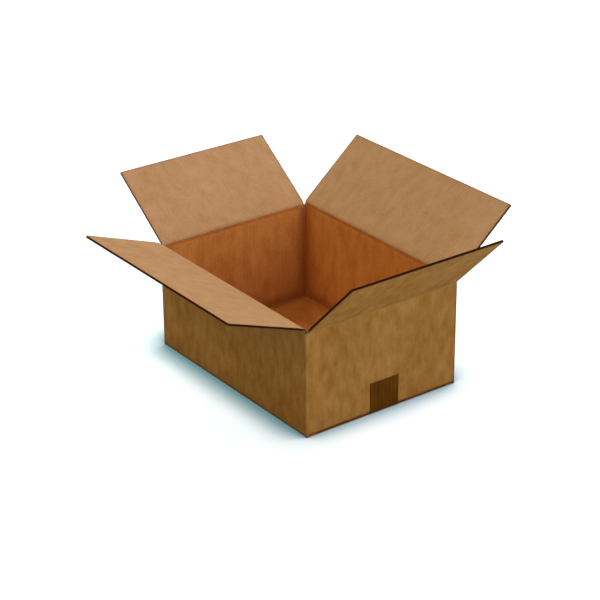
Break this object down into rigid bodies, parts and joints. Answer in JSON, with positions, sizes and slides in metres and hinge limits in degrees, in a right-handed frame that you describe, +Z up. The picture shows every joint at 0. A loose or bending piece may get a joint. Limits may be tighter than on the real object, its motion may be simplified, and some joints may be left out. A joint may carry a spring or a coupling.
{
  "type": "open corrugated cardboard box",
  "caption": "Open-topped corrugated shipping box with hinged top flaps, folded bottom flaps and a strip of packing tape under the base.",
  "frame": {"origin": "centre of the box's footprint, on the surface that it stands on", "axes": "+Z up, +X along the box's long side towards the end that faces right in the picture, +Y along its short side towards the back"},
  "size_m": [0.5511, 0.4806, 0.254],
  "materials": {
    "corrugated_board": "matt brown kraft liner",
    "packing_tape": "brown packing film"
  },
  "bodies": {
    "box": {"box_shell": "corrugated_board", "bottom_tape": "packing_tape"},
    "front_flap": {"top_flap_front": "corrugated_board"},
    "back_flap": {"top_flap_back": "corrugated_board"},
    "left_flap": {"top_flap_left": "corrugated_board"},
    "right_flap": {"top_flap_right": "corrugated_board"}
  },
  "joints": [
    {"name": "front_flap_crease", "type": "hinge", "parent": "box", "child": "front_flap", "pos_m": [0, -0.13015, 0.16025], "axis": [1, 0, 0], "range_deg": [-160.1, 109.9]},
    {"name": "back_flap_crease", "type": "hinge", "parent": "box", "child": "back_flap", "pos_m": [0, 0.13015, 0.16025], "axis": [-1, 0, 0], "range_deg": [-139.5, 130.5]},
    {"name": "left_flap_crease", "type": "hinge", "parent": "box", "child": "left_flap", "pos_m": [-0.17515, 0, 0.15695], "axis": [0, -1, 0], "range_deg": [-144.2, 125.8]},
    {"name": "right_flap_crease", "type": "hinge", "parent": "box", "child": "right_flap", "pos_m": [0.17515, 0, 0.15695], "axis": [0, 1, 0], "range_deg": [-134.5, 135.5]}
  ]
}
